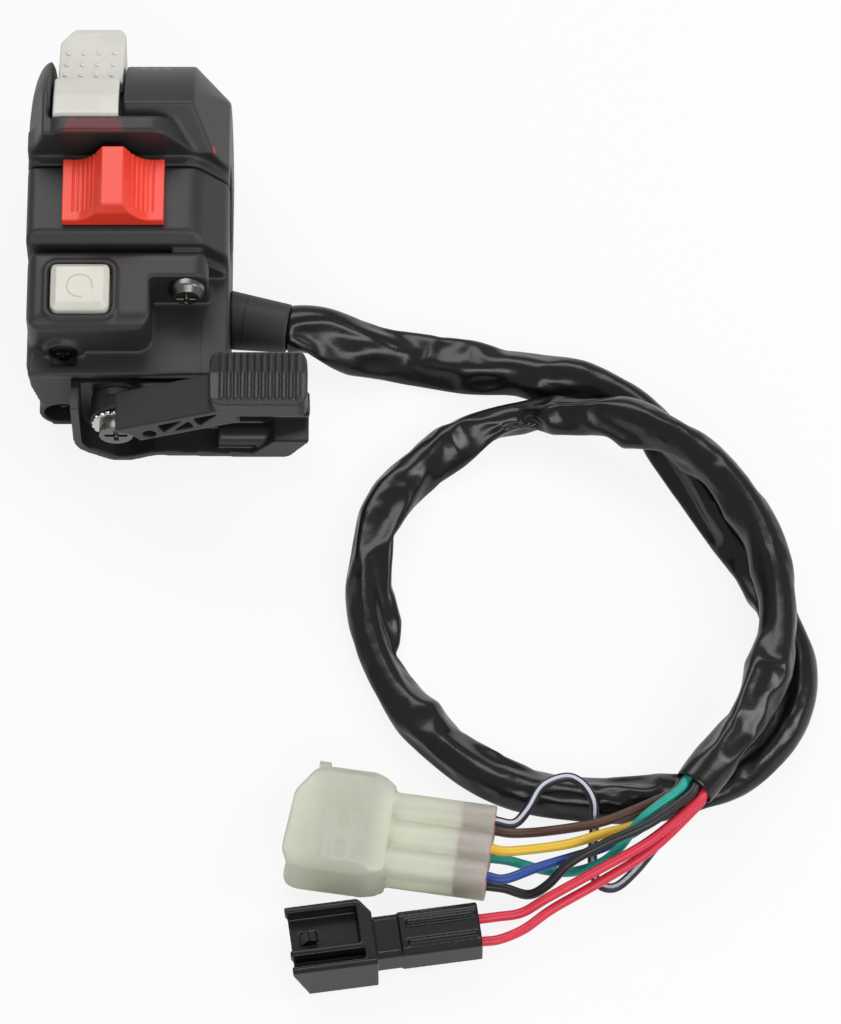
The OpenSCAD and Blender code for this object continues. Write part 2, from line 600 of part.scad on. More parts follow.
module start_button() {
    color([0.82, 0.8, 0.76]) translate([but_x, but_y, 0]) {
        difference() {
            translate([0, 0, but_flange_z1 - 0.1]) linear_extrude(but_face - but_flange_z1 + 0.1)
                round_rect(button_w, button_h, 1.5);
            for (s = [-1, 1]) {
                translate([0, s * button_h / 2, but_face]) rotate([45, 0, 0])
                    cube([30, 1.8, 1.8], center = true);
                translate([s * button_w / 2, 0, but_face]) rotate([0, 45, 0])
                    cube([1.8, 30, 1.8], center = true);
            }
        }
        translate([0, 0, but_flange_z0]) linear_extrude(but_flange_z1 - but_flange_z0)
            square([button_w + 1.6, button_h + 1], center = true);
    }
}

module start_plunger() {
    color([0.2, 0.2, 0.2]) translate([but_x, but_y, bridge_z1])
        cylinder(h = but_flange_z0 - bridge_z1, r = 2);
}

module start_moving_contact() {
    color([0.8, 0.65, 0.35]) translate([but_x, but_y, bridge_z0])
        cylinder(h = bridge_z1 - bridge_z0, r = 3.2);
}

module start_return_spring() {
    color([0.7, 0.7, 0.7]) translate([but_x, but_y, 0])
        tube(coil(4.1, start_base_z1 + 0.32, but_flange_z0 - 0.32, 6, 14), 0.3, 6);
}

module start_contact_base() {
    color([0.45, 0.3, 0.2]) difference() {
        union() {
            block([base_x0, base_y0, start_base_z0], [base_x1, -23.6, start_base_z1]);
            block([base_screw[0] - 3.1, base_y0, start_base_z0], [base_screw[0] + 3.1, base_y0 + 1.4, 12.4]);
        }
        rod_y(base_screw, base_y0 - 1, base_y0 + 2, 1.45);
    }
}

module start_fixed_contacts() {
    color([0.8, 0.65, 0.35]) for (s = [-1, 1])
        block([but_x + s * 1.9 - 0.8, but_y - 1.5, start_base_z1],
            [but_x + s * 1.9 + 0.8, but_y + 1.5, start_pad_z]);
}

module start_base_screw() {
    color([0.3, 0.3, 0.3]) difference() {
        union() {
            rod_y(base_screw, block_y0 - 1, block_y0 + 0.5, 2.8);
            rod_y(base_screw, block_y0 + 0.4, base_y0 + 1.4, 1.4);
        }
        for (a = [0, 90])
            translate([base_screw[0], block_y0 - 1, base_screw[1]]) rotate([0, a, 0])
                cube([3, 1.6, 0.7], center = true);
    }
}

module bracket_outline() {
    polygon(rounded([[-12.3, 4.5], [-12.3, -14], [-4, back_z + 0.3], [0, back_z + 0.3], [5.5, -17.3],
        [27, -18.2], [34.8, -18.2], [39.7, -10.7], [39.7, -4], [half_w, 4.5]],
        [0, 7, 4, 4, 3, 0, 2.5, 2.5, 2, 0]));
}

module choke_bracket() {
    color([0.11, 0.11, 0.11]) difference() {
        union() {
            along_y(plate_y0, plate_y1) bracket_outline();
            along_y(rim_y, plate_y0 + 0.1) difference() {
                bracket_outline();
                polygon(rounded([[-10.5, 10], [-10.5, -12.8], [-3.6, back_z + 2.1], [-0.4, back_z + 2.1],
                    [5.2, -15.5], [27, -16.4], [31.8, -10.7], [45, -10.7], [45, 10]],
                    [0, 5.5, 3, 3, 3, 0, 0, 0, 0]));
            }
            rod_x(cable_y, cable_z, 19.5, 33, 2.3);
            block([20.5, cable_y, cable_z - 0.8], [32, plate_y0 + 0.1, cable_z + 0.8]);
        }
        rod_y(pivot, plate_y0 - 1, plate_y1 + 1, 2.55);
        rod_x(cable_y, cable_z, 19, 40, 1.2);
        rod_x(cable_y, cable_z, 31.5, 45, seat_r);
    }
}

// Points along the choke arm: s along it from the pivot end, d back from its front face
function arm(s, d) = [pivot[0] + 0.928 * s + 0.372 * d, 6.9 + 0.372 * s - 0.928 * d];

// A rib across the thumb pad, along its hollow face
module pad_rib(x) {
    along_x(x - pad_rib_w / 2, x + pad_rib_w / 2) polygon(concat(
        [for (p = [pad_face[1], pad_face[2], pad_face[3]]) p + [0, pad_rib_h]],
        [[pad_face[3][0], pad_z1 - 1], [pad_face[1][0], pad_z1 - 1]]));
}

module choke_lever() {
    color([0.1, 0.1, 0.1]) difference() {
        union() {
            rod_y(pivot, hub_y0, hub_y1, 5.6);
            along_y(hub_y0, hub_y1 - 2.4)
                polygon([arm(0, 0), [-6.5, 3.5], [-2.4, -3], arm(4, 6.5), arm(8, 0)]);
            along_y(-lever_low, hub_y1 - 2.4) polygon([arm(0, 0), arm(26.5, 0), arm(27, 6.5), arm(1, 6.5)]);
            intersection() {
                along_y(-lever_low, pad_y1) polygon(rounded([[pad_x0, pad_z0], [pad_x0, pad_z1 + 1.2],
                    [pad_x1, pad_z1 + 1.2], [pad_x1, pad_z0]], [1.2, 2, 2, 1.2]));
                along_x(pad_x0, pad_x1) polygon(concat([[pad_y1 - 1, pad_z0], [-lever_low + 1, pad_z0],
                    [-lever_low, pad_z0 + 1]], pad_face, [[pad_y1, pad_z0 + 1]]));
                translate([0, 0, pad_z0 - 1]) linear_extrude(pad_z1 - pad_z0 + 4) polygon(rounded([
                    [pad_x0, -lever_low], [pad_x1, -lever_low], [pad_x1, pad_y1], [pad_x0, pad_y1]],
                    [pad_round, pad_round, pad_round, pad_round]));
            }
            for (i = [0 : pad_ribs - 1]) pad_rib(pad_x0 + 2.8 + i * pad_pitch);
        }
        rod_y(pivot, -lever_low - 1, hub_y1 + 1, pivot_r + 0.05);
        rod_y(pivot, -lever_low - 1, hub_y0, 5.9);
        along_y(-lever_low - 1, -lever_low + 5.5) {
            polygon([arm(9.5, 1.5), arm(15.5, 1.5), arm(9.5, 4.9)]);
            polygon([arm(16.6, 2.2), arm(16.6, 5.1), arm(11.6, 5.1)]);
            polygon([arm(18, 1.5), arm(24, 1.5), arm(18, 4.9)]);
        }
        rod_y(arm(6.4, 4.4), -lever_low - 1, hub_y0 - 0.8, 1.5);
    }
}

module choke_pivot_screw() {
    color([0.8, 0.8, 0.8]) difference() {
        union() {
            rod_y(pivot, lock_y0 - 2.6, lock_y0, 3.7);
            rod_y(pivot, lock_y0 - 0.1, plate_y0, pivot_r);
            rod_y(pivot, plate_y0 - 0.1, -33, 2.5);
        }
        for (a = [0, 90])
            translate([pivot[0], lock_y0 - 2.6, pivot[1]]) rotate([0, a, 0]) cube([5, 2.4, 1], center = true);
    }
}

module choke_lock_washer() {
    color([0.85, 0.85, 0.85]) difference() {
        rod_y(pivot, lock_y0, lock_y1, 5.4);
        rod_y(pivot, lock_y0 - 1, lock_y1 + 1, pivot_r + 0.05);
        for (a = [0 : 20 : 340])
            translate([pivot[0], (lock_y0 + lock_y1) / 2, pivot[1]]) rotate([0, a, 0])
                translate([5.4, 0, 0]) rotate([0, 45, 0]) cube([0.7, 2, 0.7], center = true);
    }
}

module choke_friction_washer() {
    color([0.75, 0.73, 0.68]) difference() {
        rod_y(pivot, washer_y0, plate_y0, 5.2);
        rod_y(pivot, washer_y0 - 1, plate_y0 + 1, pivot_r + 0.05);
    }
}

module harness_grommet() {
    color([0.12, 0.12, 0.12]) difference() {
        union() {
            rod_x(grom_y, grom_z, half_w - wall - 2.3, half_w - wall - 0.1, 6.2);
            rod_x(grom_y, grom_z, half_w - wall - 0.2, half_w + 0.1, 5.1);
            difference() {
                translate([half_w, grom_y, grom_z]) rotate([0, 0, -grom_a]) rotate([0, 90, 0])
                    translate([0, 0, -2]) cylinder(h = grom_l + 2, r1 = 6.7, r2 = 5.4);
                block([half_w - 10, grom_y - 12, grom_z - 12], [half_w, grom_y + 12, grom_z + 12]);
            }
        }
        rod_x(grom_y, grom_z, half_w - 6, half_w + 1, 3.6);
        translate([half_w, grom_y, grom_z]) rotate([0, 0, -grom_a]) rotate([0, 90, 0])
            translate([0, 0, -1]) cylinder(h = grom_l + 2, r = 3.6);
    }
}

module lighting_lead() {
    color([0.6, 0.3, 0.1]) tube(smooth(light_lead_path, 4), 1.1, 8);
}

module stop_lead() {
    color([0.1, 0.1, 0.1]) tube(smooth(stop_lead_path, 4), 1, 8);
}

module start_lead() {
    color([0.8, 0.7, 0.1]) tube(smooth(start_lead_path, 4), 1, 8);
}

module harness_sleeve() {
    color([0.08, 0.08, 0.08]) tube(sleeve_line, sleeve_d / 2, 12);
}

module wire_brown() {
    color([0.3, 0.18, 0.12]) tube(smooth(brown_path, 5), wire_d / 2, 8);
}

module wire_green() {
    color([0.1, 0.6, 0.5]) tube(smooth(green_path, 5), wire_d / 2, 8);
}

module wire_yellow() {
    color([0.9, 0.7, 0.1]) tube(smooth(yellow_path, 5), wire_d / 2, 8);
}

module wire_black() {
    color([0.06, 0.06, 0.06]) tube(smooth(black_path, 5), wire_d / 2, 8);
}

module wire_blue() {
    color([0.1, 0.25, 0.6]) tube(smooth(blue_path, 5), wire_d / 2, 8);
}

module wire_stripe() {
    color([0.12, 0.13, 0.2]) tube(smooth(stripe_path, 4), wire_d / 2, 8);
}

module wire_red_a() {
    color([0.85, 0.12, 0.2]) tube(smooth(red_a_path, 5), wire_d / 2, 8);
}

module wire_red_b() {
    color([0.85, 0.12, 0.2]) tube(smooth(red_b_path, 5), wire_d / 2, 8);
}

module six_frame() {
    translate(six_at) rotate([0, 0, six_a]) children();
}

module shell_x(x0, x1, w, h, c) {
    along_x(x0, x1) polygon([[-w / 2 + c, -h / 2], [w / 2 - c, -h / 2], [w / 2, -h / 2 + c],
        [w / 2, h / 2 - c], [w / 2 - c, h / 2], [-w / 2 + c, h / 2], [-w / 2, h / 2 - c],
        [-w / 2, -h / 2 + c]]);
}

module six_way_plug() {
    color([0.85, 0.88, 0.8]) six_frame() difference() {
        union() {
            for (c = [-1 : 1], r = [-1, 1])
                rod_x(c * six_pitch, r * six_row, -24, 0, six_pitch / 2 + 0.05);
            intersection() {
                translate([0, 0, -six_h]) linear_extrude(2 * six_h) polygon([[-27, six_far],
                    [-26.4, six_far], [-21.7, 9.9], [-21.7, -9.9], [-26.4, six_near], [-27, six_near]]);
                along_y(-20, 20) polygon([[-27, six_h / 2], [-26.4, six_h / 2], [-21.7, 6.2], [-21.7, -6.2],
                    [-26.4, -six_h / 2], [-27, -six_h / 2]]);
                translate([0, six_off, 0]) shell_x(-28, -20, six_w, six_h, 2.2);
            }
            intersection() {
                translate([0, six_off, 0]) shell_x(six_front, -26.9, six_w, six_h, 2.2);
                translate([0, 0, -six_h]) linear_extrude(2 * six_h) polygon(rounded([[-20, six_near],
                    [-20, six_far], [six_front + 5.9, six_far], [six_front + 1, 5.2], [six_front, six_near]],
                    [0, 0, 2, 4, 4]));
            }
            block([-39.2, six_far - 4, -2], [-36.6, six_far + 2.8, 2]);
            translate([0.6, -4.2, 0]) {
                block([-36, -5.2, 7.5], [-33.8, 5.2, 8.3]);
                block([-36, -1, 7.5], [-27.2, 1, 8.3]);
                block([-31, -5.2, 7.5], [-29, 5.2, 8.3]);
            }
        }
        translate([0, six_off, 0])
            shell_x(six_front - 1, -25.6, six_w - 2 * plug_wall, six_h - 2 * plug_wall, 1.6);
        for (c = [-1 : 1], r = [-1, 1])
            rod_x(c * six_pitch, r * six_row, -7, 1, 2.2);
    }
}

module six_way_seals() {
    color([0.85, 0.5, 0.48]) six_frame() for (c = [-1 : 1], r = [-1, 1])
        rod_x(c * six_pitch, r * six_row, -7, 0, 2.15);
}

module six_way_terminals() {
    color([0.75, 0.72, 0.65]) six_frame() for (c = [-1 : 1], r = [-1, 1])
        translate([-31.6, c * six_pitch, r * six_row]) cube([12, 2.3, 0.7], center = true);
}

module two_frame() {
    translate(two_at) rotate([0, 0, two_a]) children();
}

module two_way_plug() {
    color([0.07, 0.07, 0.07]) two_frame() difference() {
        union() {
            shell_x(-17, 0, 10.2, 10, 1.4);
            for (y = [-2.8, 1.8]) block([-15.4, y - 0.6, 4.4], [-0.8, y + 0.6, 5.6]);
            shell_x(-23, -16.5, 9.8, 8.8, 1.2);
            difference() {
                translate([0, two_off, 0]) shell_x(two_front, -22.5, two_w, two_h, 0.9);
                block([two_front - 1, -1.9, two_floor], [two_back, 6.6, two_h]);
                block([two_front - 1, -5.6, two_floor], [-25, -3.3, two_h]);
                translate([0, 0, -two_h]) linear_extrude(2 * two_h)
                    polygon([[-25.4, two_off + two_w / 2 + 0.4], [-22, two_off + two_w / 2 + 0.4], [-22, 4]]);
                along_y(-two_w, two_w) polygon([[two_front - 1, 9], [two_front, 4.6],
                    [two_front + 3.5, -two_h / 2], [two_front + 3.2, -9], [two_front - 1, -9]]);
            }
            along_y(0.4, 3) polygon([[-38.2, two_floor - 0.1], [-36.2, two_floor + 2.2],
                [-34.6, two_floor + 2.2], [-34.6, two_floor - 0.1]]);
        }
        block([two_front - 1, -5.2, -5.4], [two_back, 5.4, two_floor - 0.8]);
        shell_x(-4, 1, 8.2, 5.2, 1.6);
    }
}

module two_way_seal() {
    color([0.8, 0.25, 0.15]) two_frame() shell_x(-4, 0, 8.1, 5.1, 1.6);
}

module two_way_terminals() {
    color([0.75, 0.72, 0.65]) two_frame() for (s = [-1, 1])
        translate([two_back - 5, s * two_pitch, 0]) cube([10, 2.2, 0.7], center = true);
}

upper_housing();
lower_housing();
housing_screws();
lighting_knob();
lighting_rotor();
lighting_moving_contact();
lighting_contact_base();
lighting_fixed_contacts();
lighting_detent_ball();
lighting_detent_spring();
stop_knob();
stop_carrier();
stop_moving_contact();
stop_contact_base();
stop_fixed_contacts();
stop_detent_ball();
stop_detent_spring();
start_button();
start_plunger();
start_moving_contact();
start_return_spring();
start_contact_base();
start_fixed_contacts();
start_base_screw();
choke_bracket();
choke_lever();
choke_pivot_screw();
choke_lock_washer();
choke_friction_washer();
harness_grommet();
lighting_lead();
stop_lead();
start_lead();
harness_sleeve();
wire_brown();
wire_green();
wire_yellow();
wire_black();
wire_blue();
wire_stripe();
wire_red_a();
wire_red_b();
six_way_plug();
six_way_seals();
six_way_terminals();
two_way_plug();
two_way_seal();
two_way_terminals();
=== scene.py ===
# A handlebar switch cluster on its back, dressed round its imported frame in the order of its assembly.
import math

import bpy
import numpy as np
from mathutils import Matrix, Vector


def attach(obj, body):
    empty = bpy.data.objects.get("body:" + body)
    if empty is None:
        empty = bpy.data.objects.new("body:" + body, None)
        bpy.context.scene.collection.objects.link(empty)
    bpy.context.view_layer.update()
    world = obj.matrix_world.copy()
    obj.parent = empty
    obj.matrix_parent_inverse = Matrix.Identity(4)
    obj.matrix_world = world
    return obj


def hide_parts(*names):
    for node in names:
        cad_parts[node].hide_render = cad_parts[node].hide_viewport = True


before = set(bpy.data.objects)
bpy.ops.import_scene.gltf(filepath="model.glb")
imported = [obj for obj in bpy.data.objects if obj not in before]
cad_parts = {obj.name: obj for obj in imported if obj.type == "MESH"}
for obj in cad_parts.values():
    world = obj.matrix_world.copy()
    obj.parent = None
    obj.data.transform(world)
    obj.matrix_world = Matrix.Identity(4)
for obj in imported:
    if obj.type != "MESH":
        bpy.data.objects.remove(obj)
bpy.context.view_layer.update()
MM = 0.001

# The camera stands well back above the front edge of the table, so the view is almost without perspective.
# Its lens is set for a picture of 841 by 1024.
VIEW_TARGET = Vector((64.0, -63.6, -20.0)) * MM
VIEW_ELEVATION = math.radians(63)
VIEW_DISTANCE = 1.4
camera_data = bpy.data.cameras.new("camera")
camera_data.sensor_fit = "VERTICAL"
camera_data.sensor_height = 24
camera_data.lens = 149
camera = bpy.data.objects.new("camera", camera_data)
view_back = Vector((0, -math.cos(VIEW_ELEVATION), math.sin(VIEW_ELEVATION)))
camera.location = VIEW_TARGET + VIEW_DISTANCE * view_back
camera.rotation_euler = (VIEW_TARGET - camera.location).to_track_quat("-Z", "Y").to_euler()
bpy.context.scene.collection.objects.link(camera)
bpy.context.scene.camera = camera
bpy.context.scene.view_settings.view_transform = "Standard"


class Value:
    """An output socket in a material: sums with it add Math nodes, and node() adds any other node."""

    def __init__(self, tree, socket):
        self.tree = tree
        self.socket = socket

    def node(self, kind, settings=None, inputs=None, output=0):
        made = self.tree.nodes.new(kind)
        for key, setting in (settings or {}).items():
            setattr(made, key, setting)
        for key, value in (inputs or {}).items():
            if isinstance(value, Value):
                self.tree.links.new(value.socket, made.inputs[key])
            else:
                made.inputs[key].default_value = value
        return Value(self.tree, made.outputs[output])

    def math(self, operation, first, second):
        return self.node("ShaderNodeMath", {"operation": operation}, {0: first, 1: second})

    def __add__(self, other):
        return self.math("ADD", self, other)

    __radd__ = __add__

    def __sub__(self, other):
        return self.math("SUBTRACT", self, other)

    def __rsub__(self, other):
        return self.math("SUBTRACT", other, self)

    def __mul__(self, other):
        return self.math("MULTIPLY", self, other)

    __rmul__ = __mul__

    def __gt__(self, other):
        return self.math("GREATER_THAN", self, other)

    def __lt__(self, other):
        return self.math("LESS_THAN", self, other)

    def within(self, low_mm, high_mm):
        """1 between two sizes, and 0 outside them."""
        return (self > low_mm * MM) * (self < high_mm * MM)

    def axes(self):
        """The three parts of a vector."""
        parts = self.tree.nodes.new("ShaderNodeSeparateXYZ")
        self.tree.links.new(self.socket, parts.inputs[0])
        return [Value(self.tree, socket) for socket in parts.outputs]

    def blend(self, first, second):
        """The colour between first and second that this value gives."""
        return self.node("ShaderNodeMix", {"data_type": "RGBA"}, {0: self, 6: first, 7: second}, output=2)

    def feed(self, shader, name):
        self.tree.links.new(self.socket, shader.inputs[name])


# The table is a plain white sheet. The camera sees it as almost pure white, with a soft shadow left under the
# cluster. Soft lamps behind it, in front of it and on its right give the black plastic its sheen.
FLOOR_Z = -20.05 * MM
bpy.ops.object.select_all(action="DESELECT")
bpy.ops.mesh.primitive_plane_add(size=6, location=(0.06, -0.06, FLOOR_Z))
floor = bpy.context.object
floor.name = "floor"
floor_paint = bpy.data.materials.new("white_sheet")
floor_paint.use_nodes = True
floor_tree = floor_paint.node_tree
floor_tree.nodes.clear()
light_path = floor_tree.nodes.new("ShaderNodeLightPath")
seen = Value(floor_tree, light_path.outputs["Is Camera Ray"])
mirrored = Value(floor_tree, light_path.outputs["Is Glossy Ray"])
through = Value(floor_tree, light_path.outputs["Is Transmission Ray"])
paper = seen.node("ShaderNodeBsdfDiffuse", inputs={"Color": (0.8, 0.8, 0.8, 1)})
glow = seen.node("ShaderNodeEmission", inputs={"Color": (1, 1, 1, 1), "Strength": 1.0})
shown = seen.math("MINIMUM", seen + mirrored * 0.5 + through * 0.5, 1.0)
sheet_mix = seen.node("ShaderNodeMixShader", inputs={0: shown * 0.86, 1: paper, 2: glow})
floor_out = floor_tree.nodes.new("ShaderNodeOutputMaterial")
sheet_mix.feed(floor_out, "Surface")
floor.data.materials.append(floor_paint)

world = bpy.data.worlds.new("studio")
bpy.context.scene.world = world
world.use_nodes = True
world_tree = world.node_tree
room = world_tree.nodes["Background"]
room.inputs["Color"].default_value = (1, 1, 1, 1)
world_path = Value(world_tree, world_tree.nodes.new("ShaderNodeLightPath").outputs["Is Camera Ray"])
(0.4 + world_path * 0.6).feed(room, "Strength")


def softbox(name, place, aim, size, watts):
    data = bpy.data.lights.new(name, "AREA")
    data.shape = "RECTANGLE"
    data.size, data.size_y = size
    data.energy = watts
    lamp = bpy.data.objects.new(name, data)
    lamp.location = place
    lamp.rotation_euler = (Vector(aim) - Vector(place)).to_track_quat("-Z", "Y").to_euler()
    bpy.context.scene.collection.objects.link(lamp)


softbox("back_softbox", (-0.10, 0.62, 0.85), (0.05, -0.05, 0), (0.9, 0.5), 5)
softbox("right_softbox", (0.85, -0.1, 0.65), (0.05, -0.05, 0), (0.3, 0.5), 3)
softbox("front_softbox", (0.25, -0.85, 0.7), (0.05, -0.05, 0), (0.8, 0.4), 4.5)


# The harness sleeve is a soft vinyl tube over eight wires, pushed on the grommet and laid once round on the
# table and on over itself. It is slack behind the grommet, and a cloth simulation buckles it into flat folds.
SLEEVE_R = 4.9
LIE, OVER = -15.0, -4.6
SLEEVE_ROUTE = [
    (34.2, -23.05, -10), (39.72, -23.6, -10.2), (52, -25.6, -12.8), (64, -27, LIE), (76, -29.2, LIE),
    (88, -30.7, LIE), (99, -33, LIE), (109, -37.5, LIE), (117, -45, LIE), (124, -55.5, LIE), (130, -67, LIE),
    (136, -78, LIE), (142, -90, LIE), (145.5, -102, LIE), (144.5, -113, LIE), (139, -123, LIE),
    (131, -130, LIE), (120, -134, LIE), (109, -135, LIE), (97, -134.5, LIE), (85, -132, LIE),
    (74, -126.5, LIE), (64, -117, LIE), (56.6, -105, LIE), (52.8, -92, LIE), (52.7, -78, LIE),
    (56.4, -64.4, LIE), (64.5, -53.4, LIE), (75.5, -45.8, LIE), (88, -42.8, LIE + 1.6), (100, -44.6, LIE + 6),
    (110, -47.4, OVER - 0.9), (119.5, -52.4, OVER), (129.3, -60.8, OVER), (136.6, -72.2, OVER),
    (140.7, -85.6, OVER), (141.3, -99, OVER), (137.8, -112, OVER), (131.5, -124, OVER), (122, -137.5, OVER)]


def smooth_line(points, spacing):
    """A smooth curve through given points, as rows about spacing apart."""
    knots = [np.array(point, float) for point in points]
    knots = [2 * knots[0] - knots[1]] + knots + [2 * knots[-1] - knots[-2]]
    t = np.linspace(0, 1, 24, endpoint=False)[:, None]
    rows = [0.5 * (2 * b + (c - a) * t + (2 * a - 5 * b + 4 * c - d) * t ** 2
                   + (3 * b - a - 3 * c + d) * t ** 3)
            for a, b, c, d in zip(knots, knots[1:], knots[2:], knots[3:])]
    rows = np.concatenate(rows + [knots[-2][None]])
    run = np.concatenate([[0], np.cumsum(np.linalg.norm(np.diff(rows, axis=0), axis=1))])
    stations = np.linspace(0, run[-1], int(round(run[-1] / spacing)) + 1)
    return np.stack([np.interp(stations, run, rows[:, k]) for k in range(3)], 1)


def ring_axes(line):
    """Tangents of a line, and two directions square to each."""
    along = np.gradient(line, axis=0)
    along /= np.linalg.norm(along, axis=1)[:, None]
    side = np.cross(along, [0, 0, 1.0])
    side /= np.linalg.norm(side, axis=1)[:, None]
    return along, side, np.cross(side, along)


def tube_faces(rings, sides):
    return [(i * sides + k, (i + 1) * sides + k, (i + 1) * sides + (k + 1) % sides,
             i * sides + (k + 1) % sides) for i in range(rings - 1) for k in range(sides)]


def capped_tube_faces(rings, sides):
    last = (rings - 1) * sides
    return tube_faces(rings, sides) + [tuple(range(sides)), tuple(range(last + sides - 1, last - 1, -1))]


def mesh_object(name, points, faces):
    mesh = bpy.data.meshes.new(name)
    mesh.from_pydata(np.asarray(points).tolist(), [], faces)
    made = bpy.data.objects.new(name, mesh)
    bpy.context.scene.collection.objects.link(made)
    return made


SLEEVE_SIDES = 28
SLEEVE_STEP = 1.4
FOLD_LENGTH = 8.5
SLACK_AT, SLACK_REACH, SLACK_SWELL = 10, 9, 0.2
sleeve_line = smooth_line(SLEEVE_ROUTE, SLEEVE_STEP)
sleeve_rings = len(sleeve_line)
sleeve_along, sleeve_side, sleeve_up = ring_axes(sleeve_line)
sleeve_turn = np.arange(SLEEVE_SIDES) * 2 * math.pi / SLEEVE_SIDES
sleeve_out = (np.cos(sleeve_turn)[None, :, None] * sleeve_side[:, None, :]
              + np.sin(sleeve_turn)[None, :, None] * sleeve_up[:, None, :])
sleeve_bend = np.gradient(sleeve_along, axis=0) / SLEEVE_STEP
sleeve_run = np.arange(sleeve_rings) * SLEEVE_STEP
sleeve_slack = np.exp(-((sleeve_run - SLACK_AT) / SLACK_REACH) ** 2)[:, None]
sleeve_radius = SLEEVE_R * (1 + SLACK_SWELL * sleeve_slack)
sleeve_points = sleeve_line[:, None, :] + sleeve_radius[:, :, None] * sleeve_out

# The simulation runs at one unit to the centimetre, from a tube with shallow seeded dents in its bends
CM = 0.1
draw = np.random.default_rng(7)
knot_count = int(sleeve_rings * SLEEVE_STEP / FOLD_LENGTH) + 2
drawn = draw.normal(0, 1, (knot_count, 3))
station = np.linspace(0, knot_count - 1, sleeve_rings)
dents = np.stack([np.interp(station, np.arange(knot_count), drawn[:, k]) for k in range(3)], 1)
inside = np.clip(40 * (sleeve_bend[:, None, :] * sleeve_out).sum(2), 0, 1)
turn = sleeve_turn[None, :]
dent = dents[:, :1] + 0.8 * dents[:, 1:2] * np.cos(turn + 1) + 0.8 * dents[:, 2:] * np.sin(2 * turn)
rise = dent * (0.35 + 0.65 * np.maximum(inside, sleeve_slack))
start = sleeve_points + sleeve_out * rise[:, :, None] + draw.normal(0, 0.02, sleeve_points.shape)
cloth_tube = mesh_object("cloth_tube", start.reshape(-1, 3) * CM, tube_faces(sleeve_rings, SLEEVE_SIDES))
cloth_tube.shape_key_add(name="laid")
straight = cloth_tube.shape_key_add(name="straight")
SPARE_LENGTH = 1.11
rest = np.zeros(sleeve_points.shape)
rest[:, :, 0] = (sleeve_run * SPARE_LENGTH)[:, None]
rest[:, :, 1] = sleeve_radius * np.cos(sleeve_turn)[None, :]
rest[:, :, 2] = sleeve_radius * np.sin(sleeve_turn)[None, :]
straight.data.foreach_set("co", (rest * CM).ravel())
straight.value = 0
held = cloth_tube.vertex_groups.new(name="held")
HELD_AT_GROMMET, HELD_AT_CUT = 4, 12
for i in range(sleeve_rings):
    grip = max(1 - i / HELD_AT_GROMMET, 1 - (sleeve_rings - 1 - i) / HELD_AT_CUT, 0)
    if grip:
        held.add(list(range(i * SLEEVE_SIDES, (i + 1) * SLEEVE_SIDES)), grip ** 2, "REPLACE")
cloth = cloth_tube.modifiers.new("cloth", "CLOTH")
vinyl = cloth.settings
vinyl.quality = 6
vinyl.mass = 0.3
vinyl.tension_stiffness = vinyl.compression_stiffness = 40
vinyl.shear_stiffness = 15
vinyl.bending_stiffness = 0.8
vinyl.tension_damping = vinyl.compression_damping = vinyl.shear_damping = 8
vinyl.bending_damping = 0.5
vinyl.air_damping = 3
vinyl.vertex_group_mass = "held"
vinyl.rest_shape_key = straight
vinyl.effector_weights.gravity = 0.3
vinyl.use_pressure = True
vinyl.uniform_pressure_force = -0.45
touch = cloth.collision_settings
touch.distance_min = touch.self_distance_min = 0.03
touch.collision_quality = 3
touch.use_self_collision = True
touch.self_friction = 5
CORE_R, CORE_LEAN, CORE_SAG = 2.6, 18, 0.4
core_line = sleeve_line - CORE_LEAN * sleeve_bend + np.array([0, 0, -CORE_SAG])
core = mesh_object("wire_core", (core_line[:, None, :] + CORE_R * sleeve_out).reshape(-1, 3) * CM,
                   tube_faces(sleeve_rings, SLEEVE_SIDES))
bpy.ops.mesh.primitive_plane_add(size=60, location=(9, -8, -2))
table = bpy.context.object
for obstacle in (core, table):
    obstacle.modifiers.new("obstacle", "COLLISION")
    obstacle.collision.thickness_outer = 0.02
CLOTH_FRAMES = 30
cloth.point_cache.frame_end = CLOTH_FRAMES
for moment in range(1, CLOTH_FRAMES + 1):
    bpy.context.scene.frame_set(moment)
settled = cloth_tube.evaluated_get(bpy.context.evaluated_depsgraph_get()).to_mesh()
flat_list = np.zeros(len(settled.vertices) * 3)
settled.vertices.foreach_get("co", flat_list)
sleeve_points = flat_list.reshape(sleeve_rings, SLEEVE_SIDES, 3) / CM
cloth_tube.to_mesh_clear()
for helper in (cloth_tube, core, table):
    bpy.data.objects.remove(helper)
bpy.context.scene.frame_set(1)

# The cut end shows the thickness of the vinyl, so a lining runs back inside from it
LINING_RINGS = 9
SLEEVE_WALL = 0.5
sleeve_middle = sleeve_points.mean(1, keepdims=True)
lining = sleeve_points + (sleeve_middle - sleeve_points) * (SLEEVE_WALL / SLEEVE_R)
sleeve_all = np.concatenate([sleeve_points, lining[:-1 - LINING_RINGS:-1]])
sleeve = mesh_object("sleeve", sleeve_all.reshape(-1, 3) * MM,
                     capped_tube_faces(len(sleeve_all), SLEEVE_SIDES))


def pick(piece):
    """Makes a piece active, and selected by itself."""
    bpy.ops.object.select_all(action="DESELECT")
    bpy.context.view_layer.objects.active = piece
    piece.select_set(True)


pick(sleeve)
bpy.ops.object.shade_smooth()
rounding = sleeve.modifiers.new("rounding", "SUBSURF")
rounding.levels = rounding.render_levels = 1
bpy.ops.object.modifier_apply(modifier=rounding.name)


def new_finish(name, constants):
    """A material, its shader with these constant sockets, and the place on the piece."""
    material = bpy.data.materials.new(name)
    material.use_nodes = True
    tree = material.node_tree
    shader = tree.nodes["Principled BSDF"]
    for socket, value in constants.items():
        shader.inputs[socket].default_value = value
    place = Value(tree, tree.nodes.new("ShaderNodeTexCoord").outputs["Object"])
    return material, shader, place


